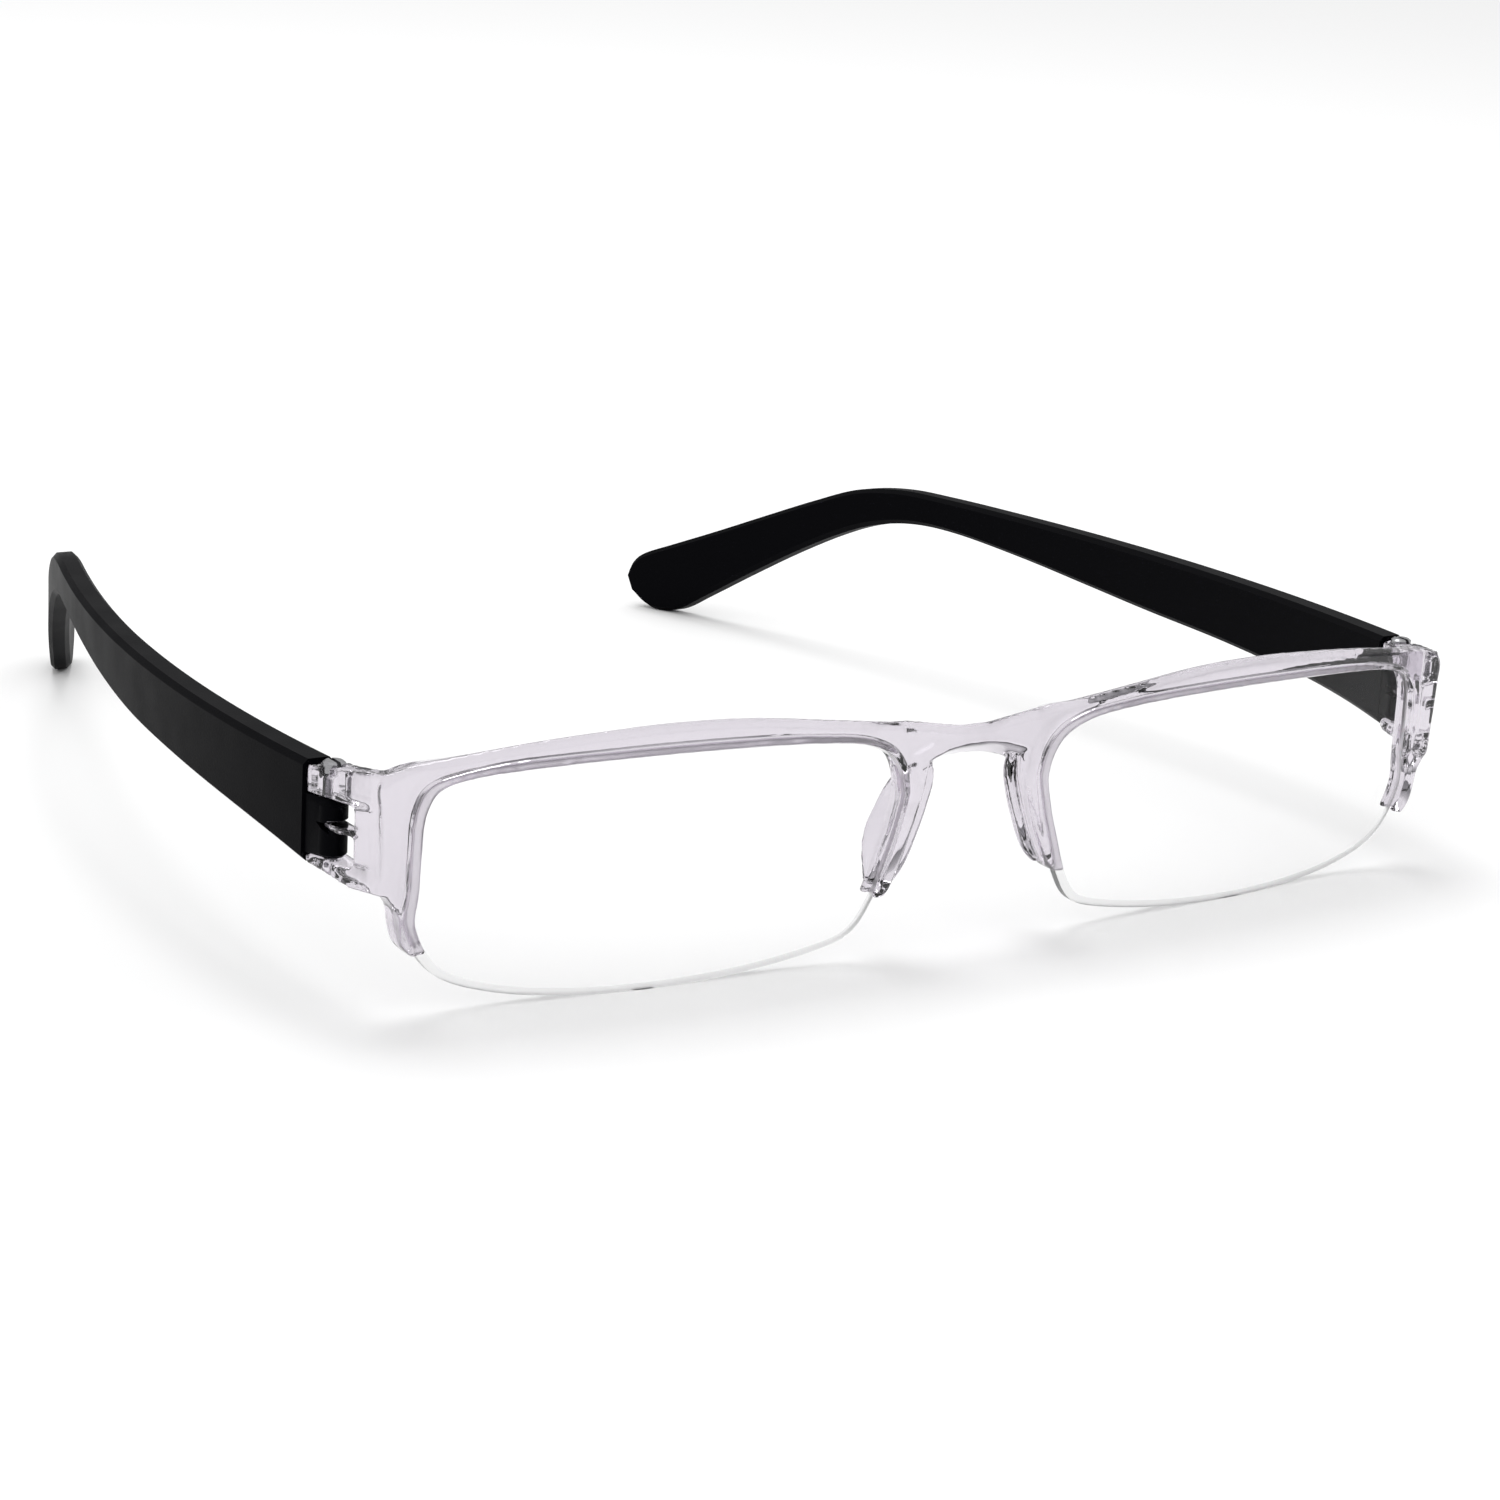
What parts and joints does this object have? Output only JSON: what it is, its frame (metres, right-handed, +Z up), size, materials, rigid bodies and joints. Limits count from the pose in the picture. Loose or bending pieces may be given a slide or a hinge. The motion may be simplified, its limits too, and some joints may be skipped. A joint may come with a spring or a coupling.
{
  "type": "half rim eyeglasses",
  "caption": "Half rim reading glasses: clear one-piece front with integral nose pads, two rimless-bottom lenses and black folding temples.",
  "frame": {"origin": "on the surface the glasses stand on, under the middle of their overall box, temples open", "axes": "+X towards the wearer's left, +Y from the front back along the temples, +Z up"},
  "size_m": [0.1378, 0.1374, 0.0272],
  "materials": {
    "clear_plastic": "clear, polished injection moulding",
    "lens_plastic": "clear optical plastic, polished, with a flat edge",
    "black_plastic": "fine satin grain",
    "steel": "turned, bright"
  },
  "bodies": {
    "front": {"front_frame": "clear_plastic", "lens_left": "lens_plastic", "lens_right": "lens_plastic", "hinge_screw_left": "steel", "hinge_screw_right": "steel"},
    "temple_left": {"temple_left": "black_plastic"},
    "temple_right": {"temple_right": "black_plastic"}
  },
  "joints": [
    {"name": "temple_left_fold", "type": "hinge", "parent": "front", "child": "temple_left", "pos_m": [0.066, -0.05624, 0.0185], "axis": [0, 0, 1], "range_deg": [0, 80]},
    {"name": "temple_right_fold", "type": "hinge", "parent": "front", "child": "temple_right", "pos_m": [-0.066, -0.05624, 0.0185], "axis": [0, 0, -1], "range_deg": [0, 74]}
  ]
}
